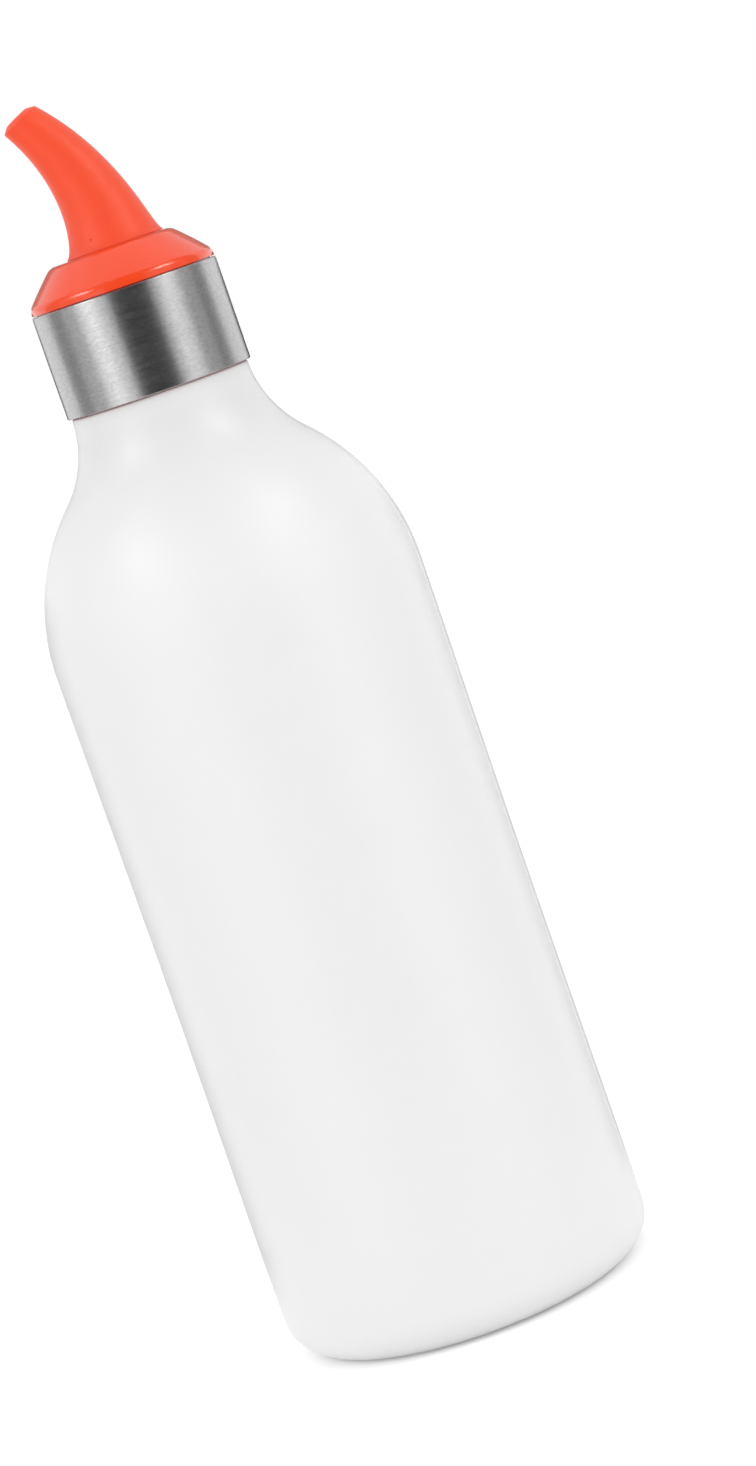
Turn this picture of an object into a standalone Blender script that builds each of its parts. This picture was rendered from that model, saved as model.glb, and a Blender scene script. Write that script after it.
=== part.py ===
"""Squeeze bottle: a frosted bottle, a screw cap in a steel band, and a soft curved spout.

Metres, +Z up. The bottle's axis is the Z axis, its base stands on Z = 0, and the spout leans to -X.
Heights of the bottle are counted from its base, and those of every other piece from its own foot.
"""

import math

import bmesh
import bpy
from mathutils import Vector

# Clearances
SEAT_GAP = 0.0003
SLEEVE_GAP = 0.0002
THREAD_GAP = 0.00035

# Bottle
BODY_RADIUS = 0.0325
BODY_WALL = 0.0011
WALL_HEIGHT = 0.124
WAIST_HEIGHT = 0.075
WAIST_DRAW = 0.0003
SHOULDER_DRAW = 0.0002
SHOULDER_RISE = 0.040
NECK_FILLET = 0.0191
HEEL_ROUND = 0.007
STANDING_RING_WIDTH = 0.0025
PUSH_UP = 0.0028
LAND_ROUND = 0.0008

# Neck
NECK_RADIUS = 0.01265
NECK_WALL = 0.00175
NECK_HEIGHT = 0.019
THROAT_DEPTH = 0.0014
THROAT_DROP = 0.0042
THROAT_ROUND = 0.002
RIM_ROUND = 0.0004

# Thread
THREAD_PITCH = 0.00423
THREAD_DEPTH = 0.0011
THREAD_CREST_WIDTH = 0.0008
THREAD_FLANK = math.radians(25)
THREAD_FADE = math.radians(40)
THREAD_SINK = 0.0004
NECK_THREAD_TURNS = 1.5
NECK_THREAD_DROP = 0.002
CAP_THREAD_TURNS = 1.25

# Sealing ring
RING_THICKNESS = 0.0012
RING_WIDTH = 0.0033
RING_OVERHANG = 0.00025
RING_ROUND = 0.0003

# Cap
SKIRT_WALL = 0.0014
PLATE_THICKNESS = 0.0022
BEVEL_WIDTH = 0.0054
BEVEL_HEIGHT = 0.0055
BEVEL_FOOT_ROUND = 0.0015
BEVEL_TOP_ROUND = 0.002
LIP_THICKNESS = 0.0012
LIP_INSET = 0.00015
SEAT_STEP = 0.0009
EDGE_ROUND = 0.0003

# Steel band
BAND_WALL = 0.00045
BAND_REVEAL = 0.0002
BAND_EDGE_ROUND = 0.0002

# Spout
GROOVE_RADIUS = 0.0067
GROOVE_WALL = 0.0015
FLANGE_THICKNESS = 0.0017
FLANGE_INSET = 0.0021
FLANGE_ROUND = 0.0003
FOOT_RADIUS = 0.00835
FOOT_OFFSET = 0.00095
TIP_RADIUS = 0.0035
TIP_BORE_RADIUS = 0.0019
TIP_ROUND = 0.0003
TIP_CROWN = 0.0006
SPOUT_RISE = 0.0257
START_LEAN = math.radians(-1.1)
END_LEAN = math.radians(38.5)
TIP_CUT = math.radians(25.5)
TAPER_POWER = 0.63

# Facets
TURN_STEPS = 60
SPOUT_STEPS = 36
RING_STEPS = 48
THREAD_STEPS_PER_TURN = 30
HORN_STATIONS = 15
BORE_STATIONS = 10
ARC_STEP = math.radians(16)
SIDE_SHARE = 0.48
SMALL_ROUND = 0.001
MERGE_DISTANCE = 1e-6
SHARP_EDGE = math.radians(35)
FOOT_CROWDING = 1.4
LEAST_FADE = 0.1

# Neck, thread and bore radii that mating pieces share
BORE_RADIUS = NECK_RADIUS - NECK_WALL
NECK_THREAD_RADIUS = NECK_RADIUS + THREAD_DEPTH
CAP_THREAD_RADIUS = NECK_RADIUS + THREAD_GAP
CAP_INNER_RADIUS = NECK_THREAD_RADIUS + THREAD_GAP
SKIRT_RADIUS = CAP_INNER_RADIUS + SKIRT_WALL
LAND_RADIUS = SKIRT_RADIUS
BAND_INNER_RADIUS = SKIRT_RADIUS + SLEEVE_GAP
BAND_RADIUS = BAND_INNER_RADIUS + BAND_WALL
LIP_RADIUS = BAND_RADIUS - LIP_INSET
RING_RADIUS = NECK_RADIUS + RING_OVERHANG
RING_SEAT_RADIUS = RING_RADIUS + SEAT_GAP
FLANGE_RADIUS = RING_RADIUS - FLANGE_INSET
HOLE_RADIUS = GROOVE_RADIUS + SEAT_GAP
SPOUT_BORE_RADIUS = GROOVE_RADIUS - GROOVE_WALL

# Heights above the base, from the land upwards through the stack of pieces
LAND_Z = WALL_HEIGHT + SHOULDER_RISE
RIM_Z = LAND_Z + NECK_HEIGHT
RING_Z = RIM_Z + SEAT_GAP
FLANGE_Z = RING_Z + RING_THICKNESS + SEAT_GAP
PLATE_Z = FLANGE_Z + FLANGE_THICKNESS + SEAT_GAP
CAP_TOP_Z = PLATE_Z + PLATE_THICKNESS
CAP_Z = LAND_Z + SEAT_GAP
BAND_Z = CAP_Z + BAND_REVEAL
LIP_Z = CAP_TOP_Z - BEVEL_HEIGHT - LIP_THICKNESS
BAND_HEIGHT = LIP_Z - SEAT_GAP - BAND_Z

# The neck's ridge ends near the rim. The cap's ridge bears on its underside, a seat gap below it.
NECK_THREAD_Z = RIM_Z - NECK_THREAD_DROP - NECK_THREAD_TURNS * THREAD_PITCH
FLANK_OVERLAP = (NECK_THREAD_RADIUS - CAP_THREAD_RADIUS) * math.tan(THREAD_FLANK)
CAP_THREAD_Z = NECK_THREAD_Z - THREAD_CREST_WIDTH - FLANK_OVERLAP - SEAT_GAP


def clear_scene():
    for old in list(bpy.data.objects):
        bpy.data.objects.remove(old, do_unlink=True)


def linear_colour(red, green, blue):
    """A colour given in display values from 0 to 255, as the linear one that a shader takes."""
    shares = (channel / 255 for channel in (red, green, blue))
    linear = [s / 12.92 if s <= 0.04045 else ((s + 0.055) / 1.055) ** 2.4 for s in shares]
    return (*linear, 1.0)


def principled(name, colour, roughness, metallic):
    material = bpy.data.materials.new(name)
    material.use_nodes = True
    shader = material.node_tree.nodes["Principled BSDF"]
    shader.inputs["Base Color"].default_value = colour
    shader.inputs["Roughness"].default_value = roughness
    shader.inputs["Metallic"].default_value = metallic
    material.diffuse_color = colour
    return material, shader


def frosted_plastic():
    material, shader = principled("frosted_plastic", linear_colour(240, 240, 239), 0.42, 0.0)
    shader.inputs["Transmission Weight"].default_value = 0.25
    return material


def glossy_orange_plastic():
    material, shader = principled("glossy_orange_plastic", linear_colour(255, 96, 64), 0.18, 0.0)
    shader.inputs["Coat Weight"].default_value = 0.3
    return material


def brushed_steel():
    material, shader = principled("brushed_steel", linear_colour(188, 188, 186), 0.3, 1.0)
    shader.inputs["Anisotropic"].default_value = 0.6
    return material


def soft_orange_plastic():
    return principled("soft_orange_plastic", linear_colour(250, 88, 58), 0.55, 0.0)[0]


def white_silicone():
    return principled("white_silicone", linear_colour(232, 232, 228), 0.6, 0.0)[0]


def arc(centre, radius, start, end, steps):
    """Profile points on an arc, with both ends, by angle from the outward direction."""
    angles = [start + (end - start) * step / steps for step in range(steps + 1)]
    return [centre + radius * Vector((math.cos(angle), math.sin(angle))) for angle in angles]


def rounded_corner(before, corner, after, radius):
    """An arc that rounds one corner, no longer than the sides next to it allow."""
    back = before - corner
    ahead = after - corner
    room = SIDE_SHARE * min(back.length, ahead.length)
    back.normalize()
    ahead.normalize()
    half_angle = back.angle(ahead) / 2
    tangent = min(radius / math.tan(half_angle), room)
    fitted = tangent * math.tan(half_angle)
    centre = corner + (back + ahead).normalized() * fitted / math.sin(half_angle)
    first = corner + back * tangent - centre
    turn = math.pi - 2 * half_angle
    clockwise = back.x * ahead.y - back.y * ahead.x > 0
    steps = 1 if fitted < SMALL_ROUND else max(2, round(turn / ARC_STEP))
    start = math.atan2(first.y, first.x)
    return arc(centre, fitted, start, start - turn if clockwise else start + turn, steps)


def rounded_profile(corners):
    """A closed profile of (radius, height, rounding) corners, with each corner rounded."""
    points = [Vector(corner[:2]) for corner in corners]
    profile = []
    for index, (_, _, rounding) in enumerate(corners):
        if rounding:
            after = points[(index + 1) % len(points)]
            profile += rounded_corner(points[index - 1], points[index], after, rounding)
        else:
            profile.append(points[index])
    return profile


def shaded_object(name, shape, material):
    """A scene object made of a bmesh, shaded smooth but for its sharp edges."""
    bmesh.ops.recalc_face_normals(shape, faces=shape.faces)
    mesh = bpy.data.meshes.new(name)
    shape.to_mesh(mesh)
    shape.free()
    mesh.shade_smooth()
    mesh.set_sharp_from_angle(angle=SHARP_EDGE)
    made = bpy.data.objects.new(name, mesh)
    if material:
        made.data.materials.append(material)
    bpy.context.scene.collection.objects.link(made)
    return made


def turned(name, profile, closed, steps, material):
    """A profile of (radius, height) points spun once round the Z axis."""
    shape = bmesh.new()
    row = [shape.verts.new((point[0], 0, point[1])) for point in profile]
    sides = list(zip(row, row[1:]))
    if closed:
        sides.append((row[-1], row[0]))
    edges = [shape.edges.new(side) for side in sides]
    bmesh.ops.spin(
        shape, geom=row + edges, cent=(0, 0, 0), axis=(0, 0, 1), dvec=(0, 0, 0),
        angle=2 * math.pi, steps=steps, use_merge=True,
    )
    bmesh.ops.remove_doubles(shape, verts=shape.verts, dist=MERGE_DISTANCE)
    return shaded_object(name, shape, material)


def skin_rows(shape, rows):
    """Joins neighbouring rows of vertices with quads, each row closed on itself."""
    for lower, upper in zip(rows, rows[1:]):
        for index in range(len(lower)):
            ahead = (index + 1) % len(lower)
            shape.faces.new((lower[index], lower[ahead], upper[ahead], upper[index]))


def smooth_step(share):
    return share * share * (3 - 2 * share)


def wall_radius(height):
    """The bottle's outer radius, full at the heel and drawn in at the waist."""
    if height < WAIST_HEIGHT:
        share = (height - HEEL_ROUND) / (WAIST_HEIGHT - HEEL_ROUND)
        return BODY_RADIUS - WAIST_DRAW * smooth_step(share)
    share = (height - WAIST_HEIGHT) / (WALL_HEIGHT - WAIST_HEIGHT)
    return BODY_RADIUS - WAIST_DRAW + (WAIST_DRAW - SHOULDER_DRAW) * smooth_step(share)


def wall_points(inset, steps):
    heights = [HEEL_ROUND + (WALL_HEIGHT - HEEL_ROUND) * step / steps for step in range(1, steps)]
    return [Vector((wall_radius(height) - inset, height)) for height in heights]


def heel_points(inset, steps):
    centre = Vector((BODY_RADIUS - HEEL_ROUND, HEEL_ROUND))
    return arc(centre, HEEL_ROUND - inset, -math.pi / 2, 0, steps)


def push_up_points(inset, steps):
    """The base's shallow dome, from the axis out to the standing ring."""
    reach = BODY_RADIUS - HEEL_ROUND - STANDING_RING_WIDTH
    dome_radius = (reach ** 2 + PUSH_UP ** 2) / (2 * PUSH_UP)
    centre = Vector((0, PUSH_UP - dome_radius + inset))
    half_span = math.asin(reach / dome_radius)
    return arc(centre, dome_radius, math.pi / 2, math.pi / 2 - half_span, steps)


def shoulder_points(inset, end_drop, convex_steps, concave_steps):
    """The shoulder's two tangent arcs, from the wall up to a drop below the land."""
    top_radius = BODY_RADIUS - SHOULDER_DRAW
    step_in = top_radius - LAND_RADIUS
    both_radii = (step_in ** 2 + SHOULDER_RISE ** 2) / (2 * step_in)
    convex_radius = both_radii - NECK_FILLET
    convex_centre = Vector((top_radius - convex_radius, WALL_HEIGHT))
    concave_centre = Vector((LAND_RADIUS + NECK_FILLET, LAND_Z))
    between = concave_centre - convex_centre
    meeting = math.atan2(between.y, between.x)
    convex = arc(convex_centre, convex_radius - inset, 0, meeting, convex_steps)
    concave_radius = NECK_FILLET + inset
    end = math.pi + math.asin(end_drop / concave_radius)
    return convex + arc(concave_centre, concave_radius, math.pi + meeting, end, concave_steps)[1:]


def neck_points():
    """From the land's outer edge over the rim and down the bore to the throat."""
    throat = Vector((BORE_RADIUS, LAND_Z - THROAT_DEPTH))
    below = shoulder_points(BODY_WALL, THROAT_DROP, 1, 1)[-1]
    corners = [
        (Vector((LAND_RADIUS, LAND_Z)), LAND_ROUND),
        (Vector((NECK_RADIUS, LAND_Z)), RIM_ROUND),
        (Vector((NECK_RADIUS, RIM_Z)), RIM_ROUND),
        (Vector((BORE_RADIUS, RIM_Z)), RIM_ROUND),
        (throat, THROAT_ROUND),
    ]
    outline = [shoulder_points(0, LAND_ROUND, 1, 1)[-1], *[corner for corner, _ in corners], below]
    rounds = [rounding for _, rounding in corners]
    points = []
    for before, corner, after, rounding in zip(outline, outline[1:], outline[2:], rounds):
        points += rounded_corner(before, corner, after, rounding)
    return points


def bottle_profile():
    """Up the outside from the base's centre, over the rim, and down the inside again."""
    outside = push_up_points(0, 4) + heel_points(0, 6) + wall_points(0, 7)
    outside += shoulder_points(0, LAND_ROUND * 2, 8, 6)
    inside = push_up_points(BODY_WALL, 2) + heel_points(BODY_WALL, 3) + wall_points(BODY_WALL, 3)
    inside += shoulder_points(BODY_WALL, THROAT_DROP, 4, 3)
    return outside + neck_points() + inside[::-1]


def thread_ridge(name, crest_radius, base_radius, turns, foot):
    """A helical ridge that rises right-handed from foot, and sinks into its wall at both ends."""
    shape = bmesh.new()
    count = round(turns * THREAD_STEPS_PER_TURN)
    sweep = turns * 2 * math.pi
    rows = []
    for step in range(count + 1):
        angle = sweep * step / count
        height = foot + THREAD_PITCH * angle / (2 * math.pi)
        fade = smooth_step(min(1, angle / THREAD_FADE, (sweep - angle) / THREAD_FADE))
        crest = base_radius + (crest_radius - base_radius) * max(fade, LEAST_FADE)
        crest_half = THREAD_CREST_WIDTH / 2
        base_half = crest_half + abs(crest_radius - base_radius) * math.tan(THREAD_FLANK)
        section = (
            (base_radius, -base_half), (crest, -crest_half), (crest, crest_half), (base_radius, base_half),
        )
        around = (math.cos(angle), math.sin(angle))
        rows.append([
            shape.verts.new((radius * around[0], radius * around[1], height + rise))
            for radius, rise in section
        ])
    skin_rows(shape, rows)
    shape.faces.new(rows[0])
    shape.faces.new(rows[-1])
    ridge = shaded_object(name, shape, None)
    ridge.hide_render = True
    ridge.display_type = "WIRE"
    return ridge


def join_ridge(body, ridge):
    """Makes the ridge part of the body's own solid."""
    ridge.parent = body
    join = body.modifiers.new("thread", "BOOLEAN")
    join.operation = "UNION"
    join.solver = "EXACT"
    join.object = ridge


def make_bottle_body():
    body = turned("bottle_body", bottle_profile(), False, TURN_STEPS, frosted_plastic())
    sunk = NECK_RADIUS - THREAD_SINK
    join_ridge(body, thread_ridge("neck_ridge", NECK_THREAD_RADIUS, sunk, NECK_THREAD_TURNS, NECK_THREAD_Z))
    return body


def make_sealing_ring():
    inner = RING_RADIUS - RING_WIDTH
    profile = rounded_profile([
        (inner, 0, 0),
        (RING_RADIUS, 0, RING_ROUND),
        (RING_RADIUS, RING_THICKNESS, RING_ROUND),
        (inner, RING_THICKNESS, 0),
    ])
    ring = turned("sealing_ring", profile, True, RING_STEPS, white_silicone())
    ring.location.z = RING_Z
    return ring


def cap_profile():
    """The cap's section, in heights above its skirt's bottom edge."""
    lip = LIP_Z - CAP_Z
    bevel_foot = lip + LIP_THICKNESS
    top = CAP_TOP_Z - CAP_Z
    plate = PLATE_Z - CAP_Z
    flange_foot = FLANGE_Z - CAP_Z
    rim = RIM_Z - CAP_Z
    return rounded_profile([
        (SKIRT_RADIUS, 0, EDGE_ROUND),
        (SKIRT_RADIUS, lip, 0),
        (LIP_RADIUS, lip, 0),
        (LIP_RADIUS, bevel_foot, BEVEL_FOOT_ROUND),
        (LIP_RADIUS - BEVEL_WIDTH, top, BEVEL_TOP_ROUND),
        (HOLE_RADIUS, top, 0),
        (HOLE_RADIUS, plate, 0),
        (FLANGE_RADIUS + SEAT_GAP, plate, EDGE_ROUND),
        (RING_SEAT_RADIUS, flange_foot, EDGE_ROUND),
        (RING_SEAT_RADIUS, rim, 0),
        (CAP_INNER_RADIUS, rim - SEAT_STEP, 0),
        (CAP_INNER_RADIUS, 0, EDGE_ROUND),
    ])


def make_cap_shell():
    cap = turned("cap_shell", cap_profile(), True, TURN_STEPS, glossy_orange_plastic())
    sunk = CAP_INNER_RADIUS + THREAD_SINK
    foot = CAP_THREAD_Z - CAP_Z
    join_ridge(cap, thread_ridge("cap_ridge", CAP_THREAD_RADIUS, sunk, CAP_THREAD_TURNS, foot))
    return cap


def make_steel_band():
    profile = rounded_profile([
        (BAND_INNER_RADIUS, 0, 0),
        (BAND_RADIUS, 0, BAND_EDGE_ROUND),
        (BAND_RADIUS, BAND_HEIGHT, BAND_EDGE_ROUND),
        (BAND_INNER_RADIUS, BAND_HEIGHT, 0),
    ])
    return turned("steel_band", profile, True, TURN_STEPS, brushed_steel())


def ring_of_points(centre_x, height, radius, tilt):
    """A circle about a point on the spout's own line, tilted up on its +X side."""
    points = []
    for step in range(SPOUT_STEPS):
        angle = 2 * math.pi * step / SPOUT_STEPS
        across = radius * math.cos(angle)
        points.append((
            centre_x + across * math.cos(tilt),
            radius * math.sin(angle),
            height + across * math.sin(tilt),
        ))
    return points


def horn_centre(share, foot):
    """A point on the horn's centreline, an arc whose lean grows evenly from foot to tip."""
    bend = END_LEAN - START_LEAN
    rise_of_centre = SPOUT_RISE - (TIP_RADIUS - TIP_ROUND) * math.sin(TIP_CUT)
    arc_radius = rise_of_centre / (math.sin(END_LEAN) - math.sin(START_LEAN))
    lean = START_LEAN + bend * share
    return (
        FOOT_OFFSET + arc_radius * (math.cos(lean) - math.cos(START_LEAN)),
        foot + arc_radius * (math.sin(lean) - math.sin(START_LEAN)),
    )


def horn_ring(share, foot, inset):
    radius = FOOT_RADIUS + (TIP_RADIUS - FOOT_RADIUS) * share ** TAPER_POWER
    return ring_of_points(*horn_centre(share, foot), radius - inset, TIP_CUT * share)


def mouth_ring(foot):
    """The edge of the tip's opening, which stands proud of the tip's outer edge."""
    centre_x, height = horn_centre(1, foot)
    proud_x = centre_x - TIP_CROWN * math.sin(TIP_CUT)
    return ring_of_points(proud_x, height + TIP_CROWN * math.cos(TIP_CUT), TIP_BORE_RADIUS, TIP_CUT)


def bore_ring(share, foot):
    """The bore starts on the cap's axis and joins the horn's centreline towards the tip."""
    centre_x, height = horn_centre(share, foot)
    radius = SPOUT_BORE_RADIUS + (TIP_BORE_RADIUS - SPOUT_BORE_RADIUS) * share
    return ring_of_points(centre_x - FOOT_OFFSET * (1 - share) ** 2, height, radius, TIP_CUT * share)


def spout_rings():
    """Rings from the flange's underside up the outside, over the tip and down the bore."""
    groove_top = CAP_TOP_Z + SEAT_GAP - FLANGE_Z
    rings = [
        ring_of_points(0, 0, FLANGE_RADIUS - FLANGE_ROUND, 0),
        ring_of_points(0, FLANGE_ROUND, FLANGE_RADIUS, 0),
        ring_of_points(0, FLANGE_THICKNESS - FLANGE_ROUND, FLANGE_RADIUS, 0),
        ring_of_points(0, FLANGE_THICKNESS, FLANGE_RADIUS - FLANGE_ROUND, 0),
        ring_of_points(0, FLANGE_THICKNESS, GROOVE_RADIUS, 0),
        ring_of_points(0, groove_top, GROOVE_RADIUS, 0),
    ]
    tip_share = TIP_ROUND / SPOUT_RISE
    for station in range(HORN_STATIONS + 1):
        share = (1 - tip_share) * (station / HORN_STATIONS) ** FOOT_CROWDING
        rings.append(horn_ring(share, groove_top, 0))
    rings.append(horn_ring(1, groove_top, TIP_ROUND))
    rings.append(mouth_ring(groove_top))
    for station in range(BORE_STATIONS, -1, -1):
        rings.append(bore_ring(station / BORE_STATIONS, groove_top))
    rings.append(ring_of_points(0, 0, SPOUT_BORE_RADIUS, 0))
    return rings


def make_spout():
    shape = bmesh.new()
    rows = [[shape.verts.new(point) for point in ring] for ring in spout_rings()]
    skin_rows(shape, rows + rows[:1])
    spout = shaded_object("spout", shape, soft_orange_plastic())
    return spout


def make_axis(name, height):
    """An empty on the bottle's axis, which the pieces that turn together hang from."""
    axis = bpy.data.objects.new(name, None)
    axis.empty_display_size = BODY_RADIUS
    axis.location.z = height
    bpy.context.scene.collection.objects.link(axis)
    return axis


def main():
    clear_scene()
    bottle = make_bottle_body()
    ring = make_sealing_ring()
    ring.parent = bottle
    cap_axis = make_axis("cap_axis", CAP_Z)
    cap_axis.parent = bottle
    cap = make_cap_shell()
    cap.parent = cap_axis
    band = make_steel_band()
    band.parent = cap_axis
    band.location.z = BAND_Z - CAP_Z
    spout = make_spout()
    spout.parent = cap_axis
    spout.location.z = FLANGE_Z - CAP_Z


main()
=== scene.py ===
"""Models a squeeze bottle: a frosted bottle, a screw cap in a steel band, and a soft curved spout.

Metres, +Z up. The bottle's axis is the Z axis, its base stands on Z = 0, and the spout leans to -X.
"""

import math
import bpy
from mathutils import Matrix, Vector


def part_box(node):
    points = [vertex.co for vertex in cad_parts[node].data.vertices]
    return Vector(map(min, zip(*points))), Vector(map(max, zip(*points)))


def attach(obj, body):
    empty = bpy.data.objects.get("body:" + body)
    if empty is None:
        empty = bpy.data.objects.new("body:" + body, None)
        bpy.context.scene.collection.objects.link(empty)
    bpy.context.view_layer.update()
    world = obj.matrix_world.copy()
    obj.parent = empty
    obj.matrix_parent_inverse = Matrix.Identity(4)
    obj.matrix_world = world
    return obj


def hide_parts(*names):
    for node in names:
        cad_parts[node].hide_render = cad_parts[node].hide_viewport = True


bl_info = {
    "name": "Squeeze Bottle",
    "version": (1, 0, 0),
    "blender": (4, 5, 0),
    "location": "View3D > Sidebar > Squeeze Bottle",
    "description": "Models a frosted squeeze bottle with a banded screw cap and a curved spout",
    "category": "Add Mesh",
}

import bmesh
import bpy
from bpy.props import FloatProperty, FloatVectorProperty, IntProperty, PointerProperty
from mathutils import Matrix, Vector

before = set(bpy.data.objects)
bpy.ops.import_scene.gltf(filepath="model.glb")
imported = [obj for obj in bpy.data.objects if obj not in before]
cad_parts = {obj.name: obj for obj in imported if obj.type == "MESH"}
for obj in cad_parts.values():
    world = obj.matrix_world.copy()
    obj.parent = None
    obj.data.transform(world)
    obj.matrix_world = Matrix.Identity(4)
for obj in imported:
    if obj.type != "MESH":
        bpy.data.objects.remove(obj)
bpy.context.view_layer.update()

BOTTLE_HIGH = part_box("bottle_body")[1]
CAP_LOW, CAP_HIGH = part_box("cap_shell")
BAND_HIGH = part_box("steel_band")[1]
RING_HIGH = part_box("sealing_ring")[1]
SPOUT_LOW, SPOUT_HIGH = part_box("spout")

# How far the band reaches below the cap's foot, and above its own CAD top
BAND_HANG = 0.00005
BAND_REACH = 0.00013

# Selection and shading
PLACE_TOLERANCE = 2e-6
MERGE_DISTANCE = 1e-6
SHARP_EDGE = math.radians(35)

# Rounded edges: the share of a side that one may take, and how its steps grow with its radius
SIDE_SHARE = 0.48
ROUND_STEP = 0.0005
LEAST_ROUND_STEPS = 4

# Steps over the bottle's dome, heel, wall, outer shoulder and hollow shoulder
OUTSIDE_STEPS = (8, 14, 26, 26, 18)
INSIDE_STEPS = (6, 8, 12, 14, 10)

# Steps of the cap's slope, and of the spout's edges, horn, tip and bore
SLOPE_STEPS = 4
EDGE_STEPS = 4
HORN_STATIONS = 40
HORN_CROWDING = 1.3
MOUTH_STEPS = 6
BORE_STATIONS = 20

# How much of the thread's height is left at its very end
LEAST_FADE = 0.1

# Painted shade below the band, the bottle's colour darker up towards the neck: its share of the
# tint, and where it starts and ends
PAINTED_SHADE_SHARE = 0.9
PAINTED_SHADE_DARK_HEIGHT = 0.168
PAINTED_SHADE_PALE_HEIGHT = 0.132

# The photograph's viewpoint
CAMERA_PLACE = Vector((0, -0.6901384, 0.1871850))
CAMERA_AIM = Vector((0.0156941, 0, 0.0973872))
CAMERA_ROLL = math.radians(-19.11)
CAMERA_SENSOR = 36
CAMERA_CLIP = (0.01, 50)

# The stage: where the soft boxes look, how far the floor is lifted to white, and its sides
LAMP_TARGET = Vector((0, 0, 0.13))
FLOOR_LIFT = 0.22
FLOOR_SIDES = 96
CARD_SIDES = 144


def number(name, description, default, **kind):
    return FloatProperty(name=name, description=description, default=default, **kind)


def length(name, description, default):
    return number(name, description, default, unit="LENGTH", precision=5)


def angle(name, description, degrees):
    return number(name, description, math.radians(degrees), unit="ROTATION")


def share(name, description, default):
    return number(name, description, default, min=0, max=1, subtype="FACTOR")


def amount(name, description, default):
    return number(name, description, default, subtype="UNSIGNED")


def tally(name, description, default):
    return IntProperty(name=name, description=description, default=default, subtype="UNSIGNED")


def shade(name, description, red, green, blue):
    """A colour given in display values from 0 to 255, kept as the linear one of a shader."""
    shares = (channel / 255 for channel in (red, green, blue))
    linear = [s / 12.92 if s <= 0.04045 else ((s + 0.055) / 1.055) ** 2.4 for s in shares]
    return FloatVectorProperty(
        name=name, description=description, default=linear, min=0, max=1, size=3, subtype="COLOR",
    )


class BottleSizes(bpy.types.PropertyGroup):
    radius: length("Radius", "Outer radius at the heel", BOTTLE_HIGH.x)
    wall: length("Wall", "Thickness of the blown wall", 0.0011)
    wall_height: length("Wall height", "Height where the shoulder starts", 0.124)
    waist_height: length("Waist height", "Height at which the wall is drawn in most", 0.075)
    waist_draw: length("Waist draw", "How far the wall is drawn in at the waist", 0.0003)
    shoulder_draw: length("Shoulder draw", "How far the wall draws in below the shoulder", 0.0002)
    shoulder_rise: length("Shoulder rise", "Height of the shoulder, up to the land", 0.0402)
    neck_fillet: length("Neck fillet", "Radius of the hollow curve below the land", 0.0191)
    heel_round: length("Heel round", "Radius between the wall and the base", 0.007)
    standing_ring: length("Standing ring", "Width of the flat ring that it stands on", 0.0025)
    push_up: length("Push-up", "Height of the base's dome", 0.0028)
    land_round: length("Land round", "Radius of the land's outer edge", 0.0005)
    seam_width: length("Seam width", "Width of the mould's parting line", 0.0006)
    seam_height: length("Seam height", "How far the mould's parting line stands proud", 0.00012)
    seam_turn: angle("Seam turn", "Turn of the parting line from the spout's own plane", -12.5)


class NeckSizes(bpy.types.PropertyGroup):
    radius: length("Radius", "Outer radius of the neck below its thread", 0.01265)
    wall: length("Wall", "Thickness of the neck", 0.00175)
    rim_height: length("Rim height", "Height of the neck's rim above the base", BOTTLE_HIGH.z)
    rim_round: length("Rim round", "Radius of the rim's edges and of the neck's foot", 0.0004)
    throat_depth: length("Throat depth", "How far the bore runs below the land", 0.0014)
    throat_drop: length("Throat drop", "How far below the land the shoulder's inside ends", 0.0042)
    throat_round: length("Throat round", "Radius where the bore opens into the shoulder", 0.002)


class ThreadSizes(bpy.types.PropertyGroup):
    pitch: length("Pitch", "Rise in one turn", 0.00423)
    depth: length("Depth", "Height of the neck's ridge", 0.0011)
    crest: length("Crest", "Width of the ridge's crest", 0.0008)
    flank: angle("Flank", "Slope of the ridge's sides", 25)
    fade: angle("Fade", "Turn over which the ridge runs out", 40)
    sink: length("Sink", "How deep the ridge's root lies in its wall", 0.0004)
    gap: length("Gap", "Clearance between the crest and the wall across from it", 0.00035)
    seat_gap: length("Seat gap", "Clearance between pieces that bear on each other", 0.0003)
    drop: length("Drop", "Distance from the rim down to the neck thread's end", 0.002)
    neck_turns: amount("Neck turns", "Turns of thread on the neck", 1.5)
    cap_turns: amount("Cap turns", "Turns of thread in the cap", 1.25)


class CapSizes(bpy.types.PropertyGroup):
    bevel_width: length("Bevel width", "Width of the slope round the cap's top", 0.0054)
    bevel_height: length("Bevel height", "Height of the slope round the cap's top", 0.0055)
    slope_bulge: length("Slope bulge", "How far the slope is domed at its middle", 0.0001)
    foot_round: length("Foot round", "Radius between the lip and the slope", 0.0025)
    top_round: length("Top round", "Radius between the slope and the top", 0.002)
    lip_thickness: length("Lip thickness", "Height of the lip above the band", 0.0012)
    lip_radius: length("Lip radius", "Outer radius of the lip", CAP_HIGH.x)
    lip_round: length("Lip round", "Radius of the lip's lower edge", 0.00015)
    skirt_wall: length("Skirt wall", "Thickness of the skirt", 0.0014)
    undercut: length("Undercut", "Depth of the groove between the lip and the band", 0.0003)
    plate_thickness: length("Plate thickness", "Thickness of the top", 0.0022)
    seat_step: length("Seat step", "Height of the step below the ring's seat", 0.0009)
    edge_round: length("Edge round", "Radius of the cap's small edges", 0.0003)


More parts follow.
